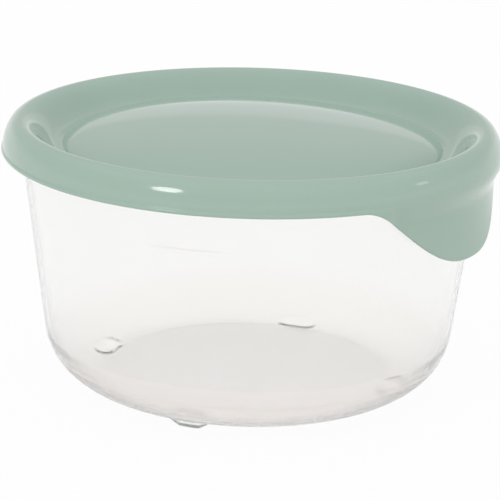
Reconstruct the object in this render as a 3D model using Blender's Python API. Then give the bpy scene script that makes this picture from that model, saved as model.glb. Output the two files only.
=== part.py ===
"""Round snap-lid food container: a clear moulded tub and a flexible snap lid with a pull tab.

Sizes are in millimetres and become metres as each mesh is made. The Z axis is the turning axis of both
pieces, Z = 0 is the plane that the feet stand on, and the lid's pull tab points along +X.
"""

import math

import bmesh
import bpy

MM = 0.001

# Tub
TUB_HEIGHT = 83.8  # underside of the base to the top of the rim
MOUTH_RADIUS = 74.6  # outside of the wall at the top of the rim
WALL_TAPER = math.radians(7.3)  # each side leans in by this towards the base
TUB_WALL = 1.4
TUB_FLOOR = 1.6
BASE_CORNER = 20.0  # outside radius between the wall and the base

# Rim bead that the lid snaps over
RIM_BEAD = 0.9  # how far the bead stands out from the wall's radius at the rim
RIM_DEPTH = 5.15  # top of the rim to the underside of the bead
RIM_BAND = 1.2  # upright band round the widest part of the bead
UNDERCUT_SLOPE = 1.0  # fall of the bead's underside for each millimetre that it runs in to the wall

# Feet under the base, and short stacking ribs on the wall above them
FOOT_COUNT = 4
FOOT_TURN = math.radians(12.0)  # first foot, from the tab's direction
FOOT_HEIGHT = 1.6  # the feet carry the base clear of the table
FOOT_RADIUS = 50.0  # axis to the middle of a foot
FOOT_DEPTH = 8.0  # across a foot, from the axis outwards
FOOT_HALF_ANGLE = math.radians(8.5)
FOOT_EDGE = 1.4  # chamfer round the sole
RIB_TURN = math.radians(16.5)
RIB_DROP = 21.6  # top of the rim to the middle of a rib
RIB_HALF_ANGLE = math.radians(10.5)
RIB_HEIGHT = 1.1
RIB_PROUD = 0.5
RIB_FLAT = 0.5  # share of a rib's height that is its flat front
END_SHARE = 0.97  # feet and ribs narrow to rounded ends that stop just short of a point

# Lid
LID_WALL = 1.35
SEAT_GAP = 0.3  # under the crest, over the tub's rim
SNAP_GAP = 0.2  # between the snap bead and the rim bead
SNAP_BAND = 0.8  # height of the snap bead's crest
LIP_DEPTH = 2.2  # bottom of the lip to the snap bead
SKIRT_ROOM = 2.65  # between the rim bead and the inside of the skirt
SKIRT_FOOT = 1.7  # bottom of the lip to where the roll ends and the lip begins
LIP_FLARE = 0.5  # how far the lip stands out from the roll
EDGE_ROUND = 0.35  # share of the wall that rounds off the lip's and the tab's bottom edge
BEAD_ROOM = 0.25  # share of the rim bead's reach left between the snap bead and its underside
SHOULDER_TURN = math.radians(55.0)  # part of the roll's quarter turn that its tighter arc makes
RING_WIDTH = 11.6  # crest to the foot of the ring's inner slope
RING_FALL = 8.15  # crest down to the foot of that slope
GROOVE_WIDTH = 1.8  # level groove between that foot and the edge of the domed panel
DOME_RISE = 7.6  # groove to the middle of the domed panel
DOME_POWER = 2.2  # above 2 the dome is flatter in the middle
DOME_EDGE = 1.7  # above 1 the dome ends in a rounded step

# Pull tab
TAB_HALF_ANGLE = math.radians(33.4)
TAB_FULLNESS = 1.32  # above 1 the tab is broad, with short curves into the lip
TAB_WALL = 1.45
TAB_CLEAR = 0.3  # between the rim bead and the tab's waist, so that the lid lifts straight off
TAB_WAIST_DROP = 6.0  # bottom of the lip to that waist
TAB_LENGTH = 15.3  # waist to the end of the tab
TAB_KICK = 2.65  # how far the tab's end leans out again from the waist
TAB_KICK_POWER = 1.5  # above 1 the lean grows towards the tab's end

# Facets
COARSE_STEP = math.radians(6.0)
FINE_STEP = math.radians(3.0)  # through the tab
FINE_MARGIN = math.radians(2.6)  # finer facets go on past the tab by this
CORNER_STEPS = 7  # along the rounded corner between the wall and the base
RIM_STEPS = 2  # along the rounded inside of the rim
BEAD_STEPS = 4
SLOPE_STEPS = 6
ROLL_STEPS = 3  # along each of the roll's two arcs
EDGE_STEPS = 4  # down the lip or the tab
END_STEPS = 4  # from the middle of a foot or a rib to its end
DOME_SHARES = (0.0, 0.25, 0.45, 0.62, 0.76, 0.87, 0.94, 0.98, 1.0)  # of the panel's radius
SHARP_ANGLE = math.radians(35.0)  # edges that turn by more are shaded sharp
WELD = 1e-7  # metres; points on the axis become one

# Sizes that follow from those above
RIM_TOP = FOOT_HEIGHT + TUB_HEIGHT
RIM_RADIUS = MOUTH_RADIUS + RIM_BEAD
SNAP_TOP = LIP_DEPTH + SNAP_BAND
LID_RISE = SNAP_TOP + BEAD_ROOM * RIM_BEAD + RIM_DEPTH + SEAT_GAP + LID_WALL
LIP_BOTTOM = RIM_TOP + SEAT_GAP + LID_WALL - LID_RISE
CREST_RADIUS = MOUTH_RADIUS - TUB_WALL / 2
SNAP_RADIUS = RIM_RADIUS + SNAP_GAP
SKIRT_RADIUS = RIM_RADIUS + SKIRT_ROOM + LID_WALL
TAB_WAIST_IN = SKIRT_RADIUS - TAB_WALL - RIM_RADIUS - TAB_CLEAR  # how far the tab tucks in under the lip
TAB_DROP = TAB_WAIST_DROP + TAB_LENGTH  # bottom of the lip to the end of the tab
FINE_HALF_ANGLE = TAB_HALF_ANGLE + FINE_MARGIN


def wall_radius(z):
    """Outside radius of the tapered wall at height z."""
    return MOUTH_RADIUS - math.tan(WALL_TAPER) * (RIM_TOP - z)


def smooth(share):
    """Goes from 0 to 1 with level ends as share goes from 0 to 1."""
    share = min(max(share, 0.0), 1.0)
    return share * share * (3 - 2 * share)


def arc(centre, radius, start, end, steps):
    """Points along an arc in the (r, z) plane, both ends included."""
    turns = [start + (end - start) * i / steps for i in range(steps + 1)]
    return [(centre[0] + radius * math.cos(t), centre[1] + radius * math.sin(t)) for t in turns]


def offset(points, distance):
    """The same curve moved sideways, to the right of its direction of travel."""
    moved = []
    for i, (r, z) in enumerate(points):
        before, after = points[max(i - 1, 0)], points[min(i + 1, len(points) - 1)]
        along_r, along_z = after[0] - before[0], after[1] - before[1]
        length = math.hypot(along_r, along_z)
        moved.append((r + distance * along_z / length, z - distance * along_r / length))
    return moved


def corner_centre(inset, floor):
    """Centre of the rounded corner from the wall, moved in by inset, into a base at height floor."""
    z = floor + BASE_CORNER - inset
    return wall_radius(z) - BASE_CORNER / math.cos(WALL_TAPER), z


def base_curve(inset, floor):
    """Rounded corner from the wall, moved in by inset, down to the flat base at height floor."""
    centre = corner_centre(inset, floor)
    return arc(centre, BASE_CORNER - inset, -WALL_TAPER, -math.pi / 2, CORNER_STEPS)


def tub_section():
    """Closed (r, z) outline of half the tub, from the inside of its corner up and round to its base."""
    bead_bottom = RIM_TOP - RIM_DEPTH
    band_top = bead_bottom + RIM_BAND
    inside = base_curve(TUB_WALL, FOOT_HEIGHT + TUB_FLOOR)[::-1]
    half = TUB_WALL / 2
    top_round = arc((CREST_RADIUS, RIM_TOP - half), half, math.pi, math.pi / 2, RIM_STEPS)
    wide, tall = RIM_RADIUS - CREST_RADIUS, RIM_TOP - band_top
    turns = [math.pi / 2 * i / BEAD_STEPS for i in range(1, BEAD_STEPS + 1)]
    bead = [(CREST_RADIUS + wide * math.sin(t), band_top + tall * math.cos(t)) for t in turns]
    neck = bead_bottom - UNDERCUT_SLOPE * RIM_BEAD
    undercut = [(RIM_RADIUS, bead_bottom), (wall_radius(neck), neck)]
    outside = base_curve(0.0, FOOT_HEIGHT)
    middle = [(0.0, FOOT_HEIGHT), (0.0, FOOT_HEIGHT + TUB_FLOOR)]
    return inside + top_round + bead + undercut + outside + middle


def tab_drop(angle):
    """How far the lid's edge hangs below the lip at this angle from the middle of the tab."""
    share = abs(angle) / TAB_HALF_ANGLE
    return TAB_DROP * (1 - smooth(min(share, 1.0) ** TAB_FULLNESS))


def edge_radius(z, drop):
    """Outside radius of the lip, or of the tab where the edge hangs lower; z is from the lip's bottom."""
    to_waist = smooth((SKIRT_FOOT - z) / (SKIRT_FOOT + TAB_WAIST_DROP))
    past_waist = max(-z - TAB_WAIST_DROP, 0.0) / TAB_LENGTH
    tab = SKIRT_RADIUS - TAB_WAIST_IN * to_waist + TAB_KICK * past_waist**TAB_KICK_POWER
    lip = SKIRT_RADIUS + LIP_FLARE * smooth(2 * (SKIRT_FOOT - z) / SKIRT_FOOT)
    share = smooth(drop / TAB_WAIST_DROP)
    return tab * share + lip * (1 - share)


def panel_curve():
    """Top of the lid from its middle to the crest: dome, level groove and the ring's slope."""
    foot_r = CREST_RADIUS - RING_WIDTH
    foot_z = LID_RISE - RING_FALL
    edge_r = foot_r - GROOVE_WIDTH
    dome = [(edge_r * s, foot_z + DOME_RISE * (1 - s**DOME_POWER) ** (1 / DOME_EDGE)) for s in DOME_SHARES]
    turns = [math.pi * i / SLOPE_STEPS for i in range(SLOPE_STEPS + 1)]
    slope = [(foot_r + RING_WIDTH * t / math.pi, foot_z + RING_FALL * (1 - math.cos(t)) / 2) for t in turns]
    return dome + slope


def roll_curve():
    """Outside of the rim roll, from the crest down to the lip: two arcs that meet without a corner."""
    width, height = SKIRT_RADIUS - CREST_RADIUS, LID_RISE - SKIRT_FOOT
    sine, cosine = math.sin(SHOULDER_TURN), math.cos(SHOULDER_TURN)
    spread = sine * cosine - (1 - sine) * (1 - cosine)
    tight = (width * cosine - height * (1 - sine)) / spread
    wide = (height * sine - width * (1 - cosine)) / spread
    bend = math.pi / 2 - SHOULDER_TURN
    shoulder = arc((CREST_RADIUS, LID_RISE - tight), tight, math.pi / 2, bend, ROLL_STEPS)
    side = arc((SKIRT_RADIUS - wide, SKIRT_FOOT), wide, bend, 0.0, ROLL_STEPS)
    return shoulder[1:] + side[1:]


def lid_section(angle):
    """Closed (r, z) outline of half the lid at one angle; z is from the lip's bottom."""
    drop = tab_drop(angle)
    top = panel_curve() + roll_curve()
    inside = offset(top, LID_WALL)[::-1]
    under = [(r, z) for r, z in inside if r < CREST_RADIUS or z > SNAP_TOP]
    under[-1] = (0.0, under[-1][1])
    edge_wall = LID_WALL + (TAB_WALL - LID_WALL) * smooth(drop / TAB_WAIST_DROP)
    reach = SKIRT_FOOT + drop - EDGE_ROUND * edge_wall
    levels = [SKIRT_FOOT - reach * i / EDGE_STEPS for i in range(1, EDGE_STEPS + 1)]
    outer = [(edge_radius(z, drop), z) for z in levels]
    inner = [(r - edge_wall, z) for r, z in outer[::-1]]
    sole = [(outer[-1][0] - edge_wall * share, -drop) for share in (EDGE_ROUND, 1 - EDGE_ROUND)]
    bead = [(SNAP_RADIUS, LIP_DEPTH), (SNAP_RADIUS, SNAP_TOP)]
    return top + outer + sole + inner + bead + under


def turning_angles():
    """Angles of the facets' corners round the axis, finer through the tab."""
    fine = round(2 * FINE_HALF_ANGLE / FINE_STEP)
    coarse = round((2 * math.pi - 2 * FINE_HALF_ANGLE) / COARSE_STEP)
    through_tab = [-FINE_HALF_ANGLE + 2 * FINE_HALF_ANGLE * i / fine for i in range(fine)]
    rest = 2 * math.pi - 2 * FINE_HALF_ANGLE
    return through_tab + [FINE_HALF_ANGLE + rest * i / coarse for i in range(coarse)]


def skin(sections, closed):
    """Mesh through (angle, outline) pairs: a full ring where closed, else a block with two end faces."""
    mesh = bmesh.new()
    loops = []
    for angle, outline in sections:
        x, y = math.cos(angle) * MM, math.sin(angle) * MM
        loops.append([mesh.verts.new((r * x, r * y, z * MM)) for r, z in outline])
    count = len(loops[0])
    pairs = list(zip(loops, loops[1:]))
    if closed:
        pairs.append((loops[-1], loops[0]))
    for first, second in pairs:
        for i in range(count):
            j = (i + 1) % count
            mesh.faces.new((first[i], first[j], second[j], second[i]))
    if not closed:
        mesh.faces.new(loops[0][::-1])
        mesh.faces.new(loops[-1])
    bmesh.ops.remove_doubles(mesh, verts=mesh.verts, dist=WELD)
    bmesh.ops.recalc_face_normals(mesh, faces=mesh.faces)
    return mesh


def plastic(name, colour, roughness, alpha=1.0):
    """Principled plastic of one colour."""
    material = bpy.data.materials.new(name)
    material.use_nodes = True
    shader = material.node_tree.nodes["Principled BSDF"]
    shader.inputs["Base Color"].default_value = (*colour, 1.0)
    shader.inputs["Roughness"].default_value = roughness
    shader.inputs["Metallic"].default_value = 0.0
    shader.inputs["Alpha"].default_value = alpha
    return material


def make_object(name, mesh, material=None, height=0.0):
    """Named object from a finished mesh, shaded smooth, standing at a height on the axis."""
    data = bpy.data.meshes.new(name)
    mesh.to_mesh(data)
    mesh.free()
    data.shade_smooth()
    data.set_sharp_from_angle(angle=SHARP_ANGLE)
    if material:
        data.materials.append(material)
    made = bpy.data.objects.new(name, data)
    made.location.z = height * MM
    bpy.context.scene.collection.objects.link(made)
    return made


def repeated(name, section_at, turn, half_angle):
    """Equal short blocks round the axis, as one hidden helper; each narrows to rounded ends."""
    shares = [math.sin(math.pi / 2 * i / END_STEPS) for i in range(-END_STEPS, END_STEPS + 1)]
    outlines = [section_at(math.sqrt(1 - (END_SHARE * s) ** 2)) for s in shares]
    whole = bmesh.new()
    for copy in range(FOOT_COUNT):
        middle = turn + 2 * math.pi * copy / FOOT_COUNT
        block = skin([(middle + half_angle * s, o) for s, o in zip(shares, outlines)], False)
        data = bpy.data.meshes.new(name)
        block.to_mesh(data)
        block.free()
        whole.from_mesh(data)
        bpy.data.meshes.remove(data)
    helper = make_object(name, whole)
    helper.hide_render = True
    helper.display_type = "WIRE"
    return helper


def foot_section(fullness):
    """Outline of a foot: a flat chamfered sole, and a top buried halfway into the base's rounded corner."""
    half = FOOT_DEPTH / 2 * fullness
    centre_r, centre_z = corner_centre(0.0, FOOT_HEIGHT)
    buried = BASE_CORNER - min(TUB_WALL, TUB_FLOOR) / 2

    def top(r):
        past = max(r - centre_r, 0.0)
        return centre_z - math.sqrt(max(buried * buried - past * past, 0.0))

    inner, outer = FOOT_RADIUS - half, FOOT_RADIUS + half
    edge = min(FOOT_EDGE, half / 2)
    sole = [(inner, edge), (inner + edge, 0.0), (outer - edge, 0.0), (outer, edge)]
    crown = [(r, top(r)) for r in (outer, FOOT_RADIUS, inner)]
    return sole + crown


def rib_section(fullness):
    """Outline of a stacking rib: a low rounded bar on the wall, with its back buried in the wall."""
    middle = RIM_TOP - RIB_DROP
    half = RIB_HEIGHT / 2 * fullness
    proud = RIB_PROUD * fullness
    heights = (-half, -RIB_FLAT * half, RIB_FLAT * half, half)
    stands = (0.0, proud, proud, 0.0)
    front = [(wall_radius(middle + h) + s, middle + h) for h, s in zip(heights, stands)]
    back = [(wall_radius(middle + h) - TUB_WALL / 2, middle + h) for h in (half, -half)]
    return front + back


def join(target, helper):
    union = target.modifiers.new(helper.name, "BOOLEAN")
    union.operation = "UNION"
    union.solver = "EXACT"
    union.object = helper


def make_tub():
    angles = turning_angles()
    outline = tub_section()
    clear = plastic("clear_polypropylene", (0.93, 0.93, 0.92), 0.12, alpha=0.3)
    tub = make_object("tub", skin([(a, outline) for a in angles], True), clear)
    join(tub, repeated("feet", foot_section, FOOT_TURN, FOOT_HALF_ANGLE))
    join(tub, repeated("stacking_ribs", rib_section, RIB_TURN, RIB_HALF_ANGLE))


def make_lid():
    sage = plastic("sage_green_polyethylene", (0.36, 0.468, 0.402), 0.22)
    sections = [(a, lid_section(math.remainder(a, 2 * math.pi))) for a in turning_angles()]
    make_object("lid", skin(sections, True), sage, LIP_BOTTOM)


for leftover in list(bpy.data.objects):
    bpy.data.objects.remove(leftover)
make_tub()
make_lid()
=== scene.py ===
"""Looks of the round snap-lid food container: a clear moulded tub and a sage-green lid with a pull tab.

Lengths are millimetres until a mesh is made; the studio's are metres. The Z axis is the turning axis of tub
and lid, Z = 0 is the plane that the feet stand on, and the pull tab points along +X. Both pieces are closed
surfaces on a grid of (angle round the axis, step along the section), so each section is worked out once for
all angles.
"""

import math

import bpy
import numpy as np
from mathutils import Matrix, Vector


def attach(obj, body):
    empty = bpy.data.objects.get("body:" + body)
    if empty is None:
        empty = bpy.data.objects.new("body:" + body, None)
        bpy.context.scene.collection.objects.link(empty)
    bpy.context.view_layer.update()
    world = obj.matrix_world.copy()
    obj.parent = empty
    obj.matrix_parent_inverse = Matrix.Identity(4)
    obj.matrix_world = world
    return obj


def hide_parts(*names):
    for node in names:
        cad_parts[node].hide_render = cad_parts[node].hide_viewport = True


MM = 0.001

# Tub: wall, floor and rim
TUB_HEIGHT = 83.8
MOUTH_RADIUS = 74.6
WALL_TAPER = math.radians(7.3)
TUB_WALL = 1.4
TUB_FLOOR = 1.6
BASE_CORNER = 20.0
RIM_BEAD = 0.9
RIM_DEPTH = 5.15
RIM_BAND = 1.2

# Tub: feet, ribs, the low step inside the corner and the edge of the etched base
FOOT_COUNT = 4
FOOT_TURN = math.radians(12.0)
FOOT_HEIGHT = 1.6
FOOT_RADIUS = 50.0
FOOT_DEPTH = 8.0
FOOT_HALF_ANGLE = math.radians(8.5)
FOOT_EDGE = 3.4
FOOT_END = 5.0
RIB_TURN = math.radians(16.5)
RIB_DROP = 21.6
RIB_HALF_ANGLE = math.radians(10.5)
RIB_HEIGHT = 1.1
RIB_PROUD = 0.5
RIB_REACH = 1.5  # from its middle to where it runs out, in half heights
STEP_RADIUS = 63.3
STEP_RISE = 0.12
STEP_REACH = 1.5  # from its middle to where it runs out
ETCH_RADIUS = 64.6
ETCH_FADE = 0.5

# Lid: wall, fit on the rim and rim roll
LID_WALL = 1.35
SEAT_GAP = 0.3
SNAP_GAP = 0.2
SNAP_BAND = 0.8
SNAP_EASE = 0.6  # height of each of the snap bead's flanks beyond its band
SNAP_FULLNESS = 2.6  # how soon the flanks reach the bead's full width
CHANNEL_FOOT = 0.9  # from the top of the snap band to the lowest point of the channel's wall
BEAD_ROOM = 0.25  # height between snap band and rim bead, in widths of the bead
LIP_DEPTH = 2.2
LIP_FLARE = 0.5
SKIRT_ROOM = 2.65
SKIRT_FOOT = 1.7
SHOULDER_TURN = math.radians(55.0)

# Lid: ring, groove and dome
RING_WIDTH = 11.6
RING_FALL = 8.15
GROOVE_WIDTH = 1.8
GROOVE_ROUND = 0.25
DOME_RISE = 7.6
DOME_POWER = 2.2
DOME_EDGE = 1.7
DOME_WARP = 0.5
WARP_FADE = 6.0

# Lid: pull tab
TAB_HALF_ANGLE = math.radians(33.4)
TAB_FULLNESS = 1.32
TAB_WALL = 1.45
TAB_CLEAR = 0.3
TAB_WAIST_DROP = 6.0
TAB_LENGTH = 15.3
TAB_KICK = 2.65
TAB_KICK_POWER = 1.5

# Lengths that follow from those above; heights on the lid count from the bottom of its lip
RIM_TOP = FOOT_HEIGHT + TUB_HEIGHT
RIM_RADIUS = MOUTH_RADIUS + RIM_BEAD
SNAP_TOP = LIP_DEPTH + SNAP_BAND
LID_RISE = SNAP_TOP + BEAD_ROOM * RIM_BEAD + RIM_DEPTH + SEAT_GAP + LID_WALL
LIP_BOTTOM = RIM_TOP + SEAT_GAP + LID_WALL - LID_RISE
CREST_RADIUS = MOUTH_RADIUS - TUB_WALL / 2
GROOVE_RADIUS = CREST_RADIUS - RING_WIDTH
DOME_RADIUS = GROOVE_RADIUS - GROOVE_WIDTH
SNAP_RADIUS = RIM_RADIUS + SNAP_GAP
SKIRT_RADIUS = RIM_RADIUS + SKIRT_ROOM + LID_WALL
TAB_WAIST_IN = SKIRT_RADIUS - TAB_WALL - RIM_RADIUS - TAB_CLEAR
TAB_DROP = TAB_WAIST_DROP + TAB_LENGTH

# Fineness of the meshes round the axis: close and wide turns, and how far the close ones reach
ANGLE_SAMPLES = 7201  # for the integral round the circle
CLOSE_FADE = 0.15  # share of that reach over which the spacing changes
TUB_TURNS = (math.radians(0.45), math.radians(1.6))
TUB_CLOSE_HALF = 1.9 * FOOT_HALF_ANGLE
LID_TURNS = (math.radians(0.7), math.radians(1.8))
LID_CLOSE_HALF = 1.1 * TAB_HALF_ANGLE

# Steps along each stretch of the two sections
TUB_STEPS = {
    "floor": 11,
    "inside corner": 64,
    "inner wall": 16,
    "rim": 6,
    "bead": 10,
    "above rib": 8,
    "rib": 20,
    "below rib": 16,
    "outside corner": 40,
    "base": 9,
}
LID_STEPS = {
    "dome": 63,
    "groove": 6,
    "ring": 30,
    "shoulder": 16,
    "side": 14,
    "edge outside": 34,
    "edge round": 10,
    "edge inside": 20,
    "snap bead": 12,
}

# Studio surroundings by direction: axis, start and end of the step along it, level before and after the step
SURROUNDINGS = (
    ("Z", 0.06, 0.12, 0.17, 0.0),  # white sweep, up to just above the horizon
    ("Z", 0.195, 0.225, 0.82, 0.66),  # pale walls, and the dimmer room above them
    ("Z", 0.55, 0.8, 0.0, 0.25),  # diffuser overhead
    ("X", 0.3, 0.9, 0.0, 0.22),  # reflector on the tab's side
)

# Softboxes: name, place, diameter and power in watts; all face one point
LAMP_TARGET = (0, 0, 0.08)
LAMPS = (
    ("softbox_front_left", (-0.142, -1.01, 0.716), 0.27, 2.0),
    ("softbox_right", (0.988, 0.482, 0.53), 0.14, 0.1),
)


def smooth(share):
    """Goes from 0 to 1 with level ends: 3 s^2 - 2 s^3, held at its ends."""
    share = np.clip(share, 0.0, 1.0)
    return share * share * (3 - 2 * share)


def steps(start, end, count):
    """Even values from start to end, leaving out the start, which the piece before has made."""
    return np.linspace(start, end, count + 1)[1:]


def arc(centre_r, centre_z, radius, start, end, count):
    """Points (r, z) along an arc: centre plus radius times (cos t, sin t), leaving out the first."""
    turn = steps(start, end, count)
    return np.stack([centre_r + radius * np.cos(turn), centre_z + radius * np.sin(turn)], axis=1)


def inner_side(curve, distance):
    """The curve moved square to itself, to the right of its run, by distance."""
    along = np.gradient(curve, axis=0)
    along /= np.linalg.norm(along, axis=1, keepdims=True)
    return curve + distance * np.stack([along[:, 1], -along[:, 0]], axis=1)


def even_angles(close_centres, close_half, close_turn, wide_turn):
    """Angles round the axis, closer together within close_half of each centre.

    Their density is integrated round the circle and the running total is cut into equal shares.
    """
    dense = np.linspace(-math.pi, math.pi, ANGLE_SAMPLES)
    away = np.min([np.abs(np.angle(np.exp(1j * (dense - c)))) for c in close_centres], axis=0)
    close = smooth(((1 + CLOSE_FADE) * close_half - away) / (CLOSE_FADE * close_half))
    density = close / close_turn + (1 - close) / wide_turn
    between = (density[1:] + density[:-1]) / 2
    total = np.concatenate([[0.0], np.cumsum(between) * (dense[1] - dense[0])])
    count = int(round(total[-1]))
    return np.interp(np.arange(count) / count * total[-1], total, dense)


def closed_skin(name, angle, radius, height, **marks):
    """Mesh object of a closed turned surface.

    radius and height are arrays of (angle, step); a point is (radius cos angle, radius sin angle, height).
    The first and last steps lie on the axis and become one point each. Steps run outwards over the upper
    side and back under it, so with angles anticlockwise the faces point out of the material. Each mark is a
    value for every point, kept under its name for the material.
    """
    turns, count = radius.shape
    points = np.stack([radius * np.cos(angle)[:, None], radius * np.sin(angle)[:, None], height], axis=2)
    ring = points[:, 1:-1].reshape(-1, 3)
    poles = np.stack([points[0, 0], points[0, -1]])
    index = np.arange(turns * (count - 2)).reshape(turns, count - 2)
    after = np.roll(index, -1, axis=0)
    quads = np.stack([index[:, :-1], index[:, 1:], after[:, 1:], after[:, :-1]], axis=2).reshape(-1, 4)
    first = len(ring)
    last = first + 1
    start = np.stack([np.full(turns, first), index[:, 0], after[:, 0]], axis=1)
    end = np.stack([index[:, -1], np.full(turns, last), after[:, -1]], axis=1)
    faces = quads.tolist() + start.tolist() + end.tolist()
    data = bpy.data.meshes.new(name)
    data.from_pydata(np.concatenate([ring, poles]) * MM, [], faces)
    data.shade_smooth()
    for key, value in marks.items():
        kept = np.concatenate([value[:, 1:-1].ravel(), value[0, [0, -1]]])
        data.attributes.new(key, "FLOAT", "POINT").data.foreach_set("value", kept.astype(np.float32))
    made = bpy.data.objects.new(name, data)
    bpy.context.scene.collection.objects.link(made)
    return made


def wall_radius(z):
    """Outside radius of the tapered wall: the mouth's radius less the taper's slope times the depth."""
    return MOUTH_RADIUS - math.tan(WALL_TAPER) * (RIM_TOP - z)


def corner_centre(z):
    """Radius of the centre, at height z, of a corner that touches the wall.

    It is the wall's radius less the corner's over the cosine of the taper.
    """
    return wall_radius(z) - BASE_CORNER / math.cos(WALL_TAPER)


def base_corner(inset, floor, count):
    """Quarter of a circle from the wall, moved in by inset, down to a base at height floor."""
    z = floor + BASE_CORNER - inset
    return arc(corner_centre(z), z, BASE_CORNER - inset, -WALL_TAPER, -math.pi / 2, count)


def tub_profile():
    """Section of the tub from the middle of its floor out, up the inside, over the rim and down the outside.

    Straight floor and wall, quarter circles at the corner, quarter circle and quarter ellipse at the rim. The
    inside of the corner has a low rounded step: a smooth hump square to it.
    """
    floor_z = FOOT_HEIGHT + TUB_FLOOR
    inside_corner = base_corner(TUB_WALL, floor_z, TUB_STEPS["inside corner"])[::-1]
    hump = STEP_RISE * smooth(STEP_REACH - np.abs(inside_corner[:, 0] - STEP_RADIUS))
    inside_corner = inner_side(inside_corner, -hump[:, None])
    outside_corner = base_corner(0.0, FOOT_HEIGHT, TUB_STEPS["outside corner"])
    near_feet = FOOT_RADIUS - FOOT_DEPTH / 2
    floor_r = np.concatenate([
        np.linspace(0.0, near_feet, TUB_STEPS["floor"] + 1),
        steps(near_feet, inside_corner[0, 0], TUB_STEPS["floor"])[:-1],
    ])
    floor = np.stack([floor_r, np.full(len(floor_r), floor_z)], axis=1)
    half = TUB_WALL / 2
    top = arc(CREST_RADIUS, RIM_TOP - half, half, math.pi, math.pi / 2, TUB_STEPS["rim"])
    wall_top = np.array([CREST_RADIUS - half, RIM_TOP - half])
    inner_share = steps(0.0, 1.0, TUB_STEPS["inner wall"])[:, None]
    inner_wall = inside_corner[-1] * (1 - inner_share) + wall_top * inner_share
    bead_bottom = RIM_TOP - RIM_DEPTH
    band_top = bead_bottom + RIM_BAND
    turn = steps(0.0, math.pi / 2, TUB_STEPS["bead"])
    bead = np.stack([
        CREST_RADIUS + (RIM_RADIUS - CREST_RADIUS) * np.sin(turn),
        band_top + (RIM_TOP - band_top) * np.cos(turn),
    ], axis=1)
    neck = bead_bottom - RIM_BEAD
    undercut = np.array([[RIM_RADIUS, bead_bottom], [wall_radius(neck), neck]])
    rib_z = RIM_TOP - RIB_DROP
    levels = np.concatenate([
        steps(neck, rib_z + RIB_HEIGHT, TUB_STEPS["above rib"]),
        steps(rib_z + RIB_HEIGHT, rib_z - RIB_HEIGHT, TUB_STEPS["rib"]),
        steps(rib_z - RIB_HEIGHT, outside_corner[0, 1], TUB_STEPS["below rib"])[:-1],
    ])
    outer_wall = np.stack([wall_radius(levels), levels], axis=1)
    inside_feet = near_feet - FOOT_EDGE
    base_r = np.concatenate([
        steps(outside_corner[-1, 0], inside_feet, TUB_STEPS["base"]),
        steps(inside_feet, 0.0, TUB_STEPS["base"]),
    ])
    base = np.stack([base_r, np.full(len(base_r), FOOT_HEIGHT)], axis=1)
    return np.concatenate([
        floor, inside_corner, inner_wall, top, bead, undercut, outer_wall, outside_corner, base,
    ])


def nearest_copy(angle, turn):
    """Angle from the middle of the nearest of the evenly spaced feet or ribs."""
    pitch = 2 * math.pi / FOOT_COUNT
    return (angle - turn + pitch / 2) % pitch - pitch / 2


def make_tub():
    """Tub: the section turned round the axis, with the ribs raised from the wall and the feet drawn down.

    A rib is a rounded bar: its reach is a half ellipse along the angle times a smooth hump over the height.
    A foot is a flat sole with rounded flanks: the base's height falls smoothly to zero across its edges, and
    the floor inside falls as far, because the moulding is as thick there as elsewhere. The mark etched is 1
    on the base, inside and out, and fades to 0 at a ring on the corner.
    """
    turns = np.arange(FOOT_COUNT) * 2 * math.pi / FOOT_COUNT
    angle = even_angles(FOOT_TURN + turns, TUB_CLOSE_HALF, *TUB_TURNS)
    profile = tub_profile()
    radius = np.repeat(profile[None, :, 0], len(angle), axis=0)
    height = np.repeat(profile[None, :, 1], len(angle), axis=0)
    outside = np.arange(len(profile)) > np.argmax(profile[:, 0])
    along = nearest_copy(angle, RIB_TURN)[:, None] / RIB_HALF_ANGLE
    length = np.sqrt(np.clip(1 - along**2, 0.0, 1.0))
    off = np.abs(height - (RIM_TOP - RIB_DROP)) / (RIB_HEIGHT / 2)
    radius = radius + outside * RIB_PROUD * length * smooth(RIB_REACH - off)
    across = 1 - (FOOT_DEPTH / 2 - np.abs(radius - FOOT_RADIUS)) / FOOT_EDGE
    from_end = (FOOT_HALF_ANGLE - np.abs(nearest_copy(angle, FOOT_TURN))) * FOOT_RADIUS
    ends = 1 - (from_end / FOOT_END)[:, None]
    foot = smooth(1 - np.hypot(np.maximum(across, 0), np.maximum(ends, 0)))
    corner_z = FOOT_HEIGHT + BASE_CORNER
    corner_r = np.maximum(radius - corner_centre(corner_z), 0.0)
    base_z = corner_z - np.sqrt(np.maximum(BASE_CORNER**2 - corner_r**2, 0.0))
    low = profile[:, 1] < FOOT_HEIGHT + BASE_CORNER / 2
    height = np.where(low, height - foot * base_z, height)
    etched = smooth(ETCH_RADIUS + ETCH_FADE - radius)
    return closed_skin("tub_clear", angle, radius, height, etched=etched)


def panel_curve():
    """Top of the lid from its middle to the crest.

    Dome: a power of the radius is taken from 1, and a root of the rest makes its edge a rounded step. Groove:
    level, with its corner to the step rounded. Slope of the ring: half a cosine wave up to the crest.
    """
    foot_z = LID_RISE - RING_FALL
    share = np.sin(np.linspace(0.0, math.pi / 2, LID_STEPS["dome"] + 1))
    rise = DOME_RISE * (1 - share**DOME_POWER) ** (1 / DOME_EDGE)
    soft = np.hypot(rise, GROOVE_ROUND) - GROOVE_ROUND
    dome = np.stack([DOME_RADIUS * share, foot_z + soft], axis=1)
    groove_r = steps(DOME_RADIUS, GROOVE_RADIUS, LID_STEPS["groove"])
    groove = np.stack([groove_r, np.full(len(groove_r), foot_z)], axis=1)
    turn = steps(0.0, math.pi, LID_STEPS["ring"])
    slope = np.stack([
        GROOVE_RADIUS + RING_WIDTH * turn / math.pi,
        foot_z + RING_FALL * (1 - np.cos(turn)) / 2,
    ], axis=1)
    return np.concatenate([dome, groove, slope])


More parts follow.
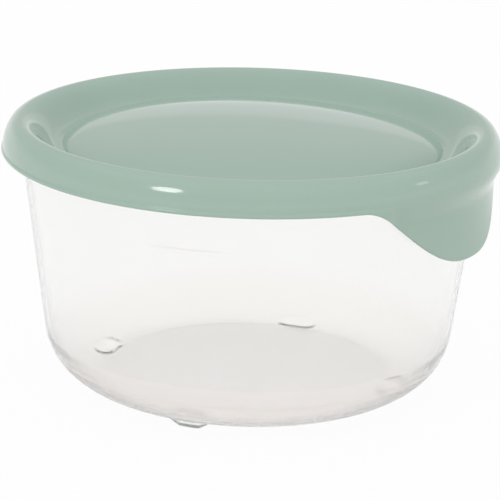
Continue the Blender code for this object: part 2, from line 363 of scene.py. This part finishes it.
def roll_curve():
    """Outside of the rim roll from the crest to the lip: two arcs that meet without a corner.

    The tight arc turns from level to the shoulder's slope and the wide one from there to upright. Their
    radii solve two equations: together they span the roll's width and its height.
    """
    width = SKIRT_RADIUS - CREST_RADIUS
    rise = LID_RISE - SKIRT_FOOT
    sine = math.sin(SHOULDER_TURN)
    cosine = math.cos(SHOULDER_TURN)
    spread = sine * cosine - (1 - sine) * (1 - cosine)
    tight = (width * cosine - rise * (1 - sine)) / spread
    wide = (rise * sine - width * (1 - cosine)) / spread
    bend = math.pi / 2 - SHOULDER_TURN
    shoulder = arc(CREST_RADIUS, LID_RISE - tight, tight, math.pi / 2, bend, LID_STEPS["shoulder"])
    side = arc(SKIRT_RADIUS - wide, SKIRT_FOOT, wide, bend, 0.0, LID_STEPS["side"])
    return np.concatenate([shoulder, side])


def edge_radius(z, drop):
    """Outside radius of the lip, or of the tab where the edge hangs lower.

    Tab: it tucks in smoothly to the waist, then leans out with a power of the length below the waist.
    Lip: it flares out smoothly over its upper half. The two are mixed by how far the edge hangs below
    the lip.
    """
    to_waist = smooth((SKIRT_FOOT - z) / (SKIRT_FOOT + TAB_WAIST_DROP))
    past_waist = np.maximum(-z - TAB_WAIST_DROP, 0.0) / TAB_LENGTH
    tab = SKIRT_RADIUS - TAB_WAIST_IN * to_waist + TAB_KICK * past_waist**TAB_KICK_POWER
    lip = SKIRT_RADIUS + LIP_FLARE * smooth(2 * (SKIRT_FOOT - z) / SKIRT_FOOT)
    share = smooth(drop / TAB_WAIST_DROP)
    return tab * share + lip * (1 - share)


def make_lid():
    """Lid: panel, ring and roll turned round the axis, with an edge that hangs lower through the tab.

    The edge's drop is the tab's length times a smooth fall of (angle / half angle) to a power. The edge
    runs down the outside, round a half circle and up the inside to the snap bead, then back under the top.
    The snap bead is a smooth rise times a smooth fall over its height. The thin panel is warped a little, as
    a saddle: the square of the radius times the cosine of twice the angle, fading out at the dome's edge.
    """
    angle = even_angles([0.0], LID_CLOSE_HALF, *LID_TURNS)
    top = np.concatenate([panel_curve(), roll_curve()])
    share = np.minimum(np.abs(angle) / TAB_HALF_ANGLE, 1.0)
    drop = (TAB_DROP * (1 - smooth(share**TAB_FULLNESS)))[:, None]
    wall = LID_WALL + (TAB_WALL - LID_WALL) * smooth(drop / TAB_WAIST_DROP)
    bottom = -drop + wall / 2
    down = steps(0.0, 1.0, LID_STEPS["edge outside"])[None, :]
    outer_z = SKIRT_FOOT + (bottom - SKIRT_FOOT) * down
    outer_r = edge_radius(outer_z, drop)
    turn = steps(0.0, math.pi, LID_STEPS["edge round"])[None, :]
    round_r = outer_r[:, -1:] - wall / 2 + wall / 2 * np.cos(turn)
    round_z = bottom - wall / 2 * np.sin(turn)
    up = steps(0.0, 1.0, LID_STEPS["edge inside"])[None, :]
    bead_bottom = LIP_DEPTH - SNAP_EASE
    inner_z = bottom + (bead_bottom - bottom) * up
    inner_r = edge_radius(inner_z, drop) - wall
    hump = steps(0.0, 1.0, LID_STEPS["snap bead"])[None, :]
    bead_z = bead_bottom + (SNAP_BAND + 2 * SNAP_EASE) * hump
    bead_foot = edge_radius(np.minimum(bead_z, SKIRT_FOOT), drop) - wall
    bulge = smooth(SNAP_FULLNESS * hump) * smooth(SNAP_FULLNESS * (1 - hump))
    bead_r = bead_foot + (SNAP_RADIUS - bead_foot) * bulge
    under = inner_side(top, LID_WALL)[::-1]
    under = under[(under[:, 0] < CREST_RADIUS) | (under[:, 1] > SNAP_TOP + CHANNEL_FOOT)]
    under[-1, 0] = 0.0
    full = np.ones((len(angle), 1))
    radius = np.concatenate([
        full * top[:, 0], outer_r, round_r, inner_r, bead_r, full * under[:, 0],
    ], axis=1)
    height = np.concatenate([
        full * top[:, 1], outer_z, round_z, inner_z, full * bead_z, full * under[:, 1],
    ], axis=1)
    saddle = np.cos(2 * angle)[:, None] * (radius / DOME_RADIUS) ** 2
    height = height + DOME_WARP * saddle * smooth((DOME_RADIUS - radius) / WARP_FADE)
    return closed_skin("lid_sage", angle, radius, height + LIP_BOTTOM)


def linear(colour):
    """sRGB hex to linear RGBA: a straight line for the darkest values and a power of 2.4 above them."""
    channel = np.array([int(colour[i:i + 2], 16) for i in (0, 2, 4)]) / 255
    value = np.where(channel <= 0.04045, channel / 12.92, ((channel + 0.055) / 1.055) ** 2.4)
    return (*value.tolist(), 1.0)


def add(tree, kind, values=None, links=None, **settings):
    """Adds one node: settings are its properties, values fill sockets, links feed sockets from outputs."""
    made = tree.nodes.new("ShaderNode" + kind)
    for key, value in settings.items():
        setattr(made, key, value)
    for key, value in (values or {}).items():
        made.inputs[key].default_value = value
    for key, output in (links or {}).items():
        tree.links.new(output, made.inputs[key])
    return made


def new_material(name):
    """Empty node material, its node tree and its output node."""
    material = bpy.data.materials.new(name)
    material.use_nodes = True
    material.node_tree.nodes.clear()
    return material, material.node_tree, add(material.node_tree, "OutputMaterial")


def per_mm(size):
    """Texture scale whose pattern repeats about every size millimetres."""
    return 1 / (size * MM)


def sage_polyethylene():
    """Pigmented low-density polyethylene, injection moulded: an even sage green with a smooth, soft gloss.

    The mould gives a faint orange peel about 2 mm across, the flow of the melt faint clouds some 45 mm
    wide, and handling slightly duller patches some 18 mm wide.
    """
    material, tree, output = new_material("sage_polyethylene_moulded")
    place = add(tree, "TexCoord").outputs["Object"]
    cloud = add(tree, "TexNoise", {"Scale": per_mm(45), "Detail": 2.0, "Roughness": 0.5}, {"Vector": place})
    tint = add(tree, "Mix", {"A": linear("A1B9AC"), "B": linear("A5BCAF")}, {"Factor": cloud.outputs["Fac"]},
               data_type="RGBA")
    worn = add(tree, "TexNoise", {"Scale": per_mm(18), "Detail": 4.0, "Roughness": 0.6}, {"Vector": place})
    gloss = add(tree, "MapRange", {"From Min": 0.35, "From Max": 0.7, "To Min": 0.06, "To Max": 0.1},
                {"Value": worn.outputs["Fac"]})
    peel = add(tree, "TexNoise", {"Scale": per_mm(2.2), "Detail": 1.0, "Roughness": 0.4}, {"Vector": place})
    bump = add(tree, "Bump", {"Strength": 0.05, "Distance": 0.03 * MM}, {"Height": peel.outputs["Fac"]})
    shader = add(tree, "BsdfPrincipled", {"IOR": 1.51, "Metallic": 0.0},
                 {"Base Color": tint.outputs["Result"], "Roughness": gloss.outputs["Result"],
                  "Normal": bump.outputs["Normal"]})
    tree.links.new(shader.outputs["BSDF"], output.inputs["Surface"])
    return material


def clear_polypropylene():
    """Clarified polypropylene, injection moulded: see-through with a glossy skin and a hazy base.

    The wall is a little wavy over some 15 mm from the mould, and faintly cloudier in patches some 30 mm
    wide. The mould's base is finely etched, so the bottom is hazy up to a ring on the corner. Inside that
    ring
    the tint is also faintly warm: a painted view of the warm surface beneath, seen through the base. The
    etched grain is finer than the picture shows, so it is drawn about 1.5 mm across. The solid's index is
    1.49, but the thin milky wall shows weak bending and pale edges, so it is matched lower.
    """
    material, tree, output = new_material("clear_polypropylene_moulded")
    place = add(tree, "TexCoord").outputs["Object"]
    frost = add(tree, "Attribute", attribute_name="etched").outputs["Fac"]
    cloud = add(tree, "TexNoise", {"Scale": per_mm(30), "Detail": 3.0, "Roughness": 0.5}, {"Vector": place})
    grain = add(tree, "TexNoise", {"Scale": per_mm(1.5), "Detail": 2.0, "Roughness": 0.6}, {"Vector": place})
    wall_tint = add(tree, "Mix", {"A": linear("FCFCFB"), "B": linear("FEFEFE")},
                    {"Factor": cloud.outputs["Fac"]}, data_type="RGBA")
    # Etched base: the grain's spread of tone is drawn, and its faint warmth is painted, the surface beneath
    # seen through it
    etched_grain_and_painted_warmth = add(tree, "Mix", {"A": linear("FFFBF9"), "B": linear("FFFDFB")},
                     {"Factor": grain.outputs["Fac"]}, data_type="RGBA")
    tint = add(tree, "Mix", {},
               {"Factor": frost, "A": wall_tint.outputs["Result"], "B": etched_grain_and_painted_warmth.outputs["Result"]},
               data_type="RGBA")
    haze = add(tree, "MapRange", {"From Min": 0.3, "From Max": 0.7, "To Min": 0.015, "To Max": 0.04},
               {"Value": cloud.outputs["Fac"]})
    etch = add(tree, "MapRange", {"From Min": 0.3, "From Max": 0.7, "To Min": 0.2, "To Max": 0.25},
               {"Value": grain.outputs["Fac"]})
    gloss = add(tree, "Mix", {}, {"Factor": frost, "A": haze.outputs["Result"], "B": etch.outputs["Result"]},
                data_type="FLOAT")
    wave = add(tree, "TexNoise", {"Scale": per_mm(15), "Detail": 1.0, "Roughness": 0.4}, {"Vector": place})
    bump = add(tree, "Bump", {"Strength": 0.1, "Distance": 0.05 * MM}, {"Height": wave.outputs["Fac"]})
    shader = add(tree, "BsdfPrincipled", {"IOR": 1.25, "Metallic": 0.0, "Transmission Weight": 0.98},
                 {"Base Color": tint.outputs["Result"], "Roughness": gloss.outputs["Result"],
                  "Normal": bump.outputs["Normal"]})
    tree.links.new(shader.outputs["BSDF"], output.inputs["Surface"])
    return material


def seen_directly(tree):
    """1 for camera, mirror and see-through rays, which meet the white background."""
    rays = add(tree, "LightPath")
    some = add(tree, "Math", {}, {0: rays.outputs["Is Camera Ray"], 1: rays.outputs["Is Glossy Ray"]},
               operation="MAXIMUM")
    return add(tree, "Math", {}, {0: some.outputs[0], 1: rays.outputs["Is Transmission Ray"]},
               operation="MAXIMUM").outputs[0]


def make_floor():
    """Wide pale floor: matt white that takes the shadow, seen as a mostly white studio sweep.

    It is one square, a hair below the soles, so that no two faces share a plane.
    """
    half = 3.0
    level = -0.05 * MM
    white_share = 0.96
    corners = [(-half, -half, level), (half, -half, level), (half, half, level), (-half, half, level)]
    data = bpy.data.meshes.new("studio_floor")
    data.from_pydata(corners, [], [(0, 1, 2, 3)])
    floor = bpy.data.objects.new("studio_floor", data)
    bpy.context.scene.collection.objects.link(floor)
    material, tree, output = new_material("pale_studio_floor")
    matt = add(tree, "BsdfDiffuse", {"Color": linear("F4F4F2")})
    white = add(tree, "Emission", {"Color": (1, 1, 1, 1), "Strength": 1.0})
    share = add(tree, "Math", {1: white_share}, {0: seen_directly(tree)}, operation="MULTIPLY")
    mixed = add(tree, "MixShader", {}, {0: share.outputs[0], 1: matt.outputs[0], 2: white.outputs[0]})
    tree.links.new(mixed.outputs[0], output.inputs["Surface"])
    data.materials.append(material)


def make_world():
    """Studio surroundings: the sum of the bands in SURROUNDINGS, each a smooth step along one axis."""
    world = bpy.data.worlds.new("studio")
    world.use_nodes = True
    tree = world.node_tree
    tree.nodes.clear()
    output = add(tree, "OutputWorld")
    direction = add(tree, "TexCoord").outputs["Generated"]
    axis = add(tree, "SeparateXYZ", {}, {"Vector": direction})
    light = add(tree, "Background", {"Color": (1, 1, 1, 1)})
    level = None
    for name, start, end, before, after in SURROUNDINGS:
        band = add(tree, "MapRange", {"From Min": start, "From Max": end, "To Min": before, "To Max": after},
                   {"Value": axis.outputs[name]}, interpolation_type="SMOOTHSTEP").outputs["Result"]
        level = band if level is None else add(tree, "Math", {}, {0: level, 1: band}).outputs[0]
    tree.links.new(level, light.inputs["Strength"])
    tree.links.new(light.outputs[0], output.inputs["Surface"])
    bpy.context.scene.world = world


def make_lamp(name, place, size, power):
    """Round softbox at place, facing LAMP_TARGET."""
    data = bpy.data.lights.new(name, "AREA")
    data.shape = "DISK"
    data.size = size
    data.energy = power
    lamp = bpy.data.objects.new(name, data)
    lamp.location = place
    lamp.rotation_euler = (Vector(LAMP_TARGET) - Vector(place)).to_track_quat("-Z", "Y").to_euler()
    bpy.context.scene.collection.objects.link(lamp)


def make_camera():
    """Camera of the photograph: 58 degrees round from the tab, 188 mm above the lip, slightly rolled.

    Distance from the axis and rise above the lip are millimetres, pitch and roll are radians, and the focal
    length is in pixels of the picture.
    """
    distance = 720.0
    rise = 188.05
    turn = math.radians(-58.0)
    pitch = 0.2988
    roll = 0.0267
    focal = 2325.0
    image_width = 500
    sensor = 36.0
    outwards = Vector((math.cos(turn), math.sin(turn), 0))
    forward = -outwards * math.cos(pitch) - Vector((0, 0, math.sin(pitch)))
    level = Vector((-math.sin(turn), math.cos(turn), 0))
    upright = level.cross(forward)
    right = level * math.cos(roll) + upright * math.sin(roll)
    upward = upright * math.cos(roll) - level * math.sin(roll)
    data = bpy.data.cameras.new("photo_camera")
    data.sensor_width = sensor
    data.lens = focal * sensor / image_width
    camera = bpy.data.objects.new("photo_camera", data)
    place = (outwards * distance + Vector((0, 0, LIP_BOTTOM + rise))) * MM
    camera.matrix_world = Matrix((
        (right.x, upward.x, -forward.x, place.x),
        (right.y, upward.y, -forward.y, place.y),
        (right.z, upward.z, -forward.z, place.z),
        (0, 0, 0, 1),
    ))
    bpy.context.scene.collection.objects.link(camera)
    bpy.context.scene.camera = camera


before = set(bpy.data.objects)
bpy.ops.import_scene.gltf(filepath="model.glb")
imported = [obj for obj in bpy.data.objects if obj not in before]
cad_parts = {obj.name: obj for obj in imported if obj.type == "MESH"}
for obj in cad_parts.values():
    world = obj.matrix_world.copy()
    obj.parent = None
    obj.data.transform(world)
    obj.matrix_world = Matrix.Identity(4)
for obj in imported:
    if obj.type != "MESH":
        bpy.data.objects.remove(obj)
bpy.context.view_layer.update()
bpy.context.scene.view_settings.view_transform = "Standard"

tub = make_tub()
tub.data.materials.append(clear_polypropylene())
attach(tub, "tub")
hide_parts("tub")

lid = make_lid()
lid.data.materials.append(sage_polyethylene())
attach(lid, "lid")
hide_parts("lid")

make_floor()
make_world()
for lamp_name, lamp_place, lamp_size, lamp_power in LAMPS:
    make_lamp(lamp_name, lamp_place, lamp_size, lamp_power)
make_camera()
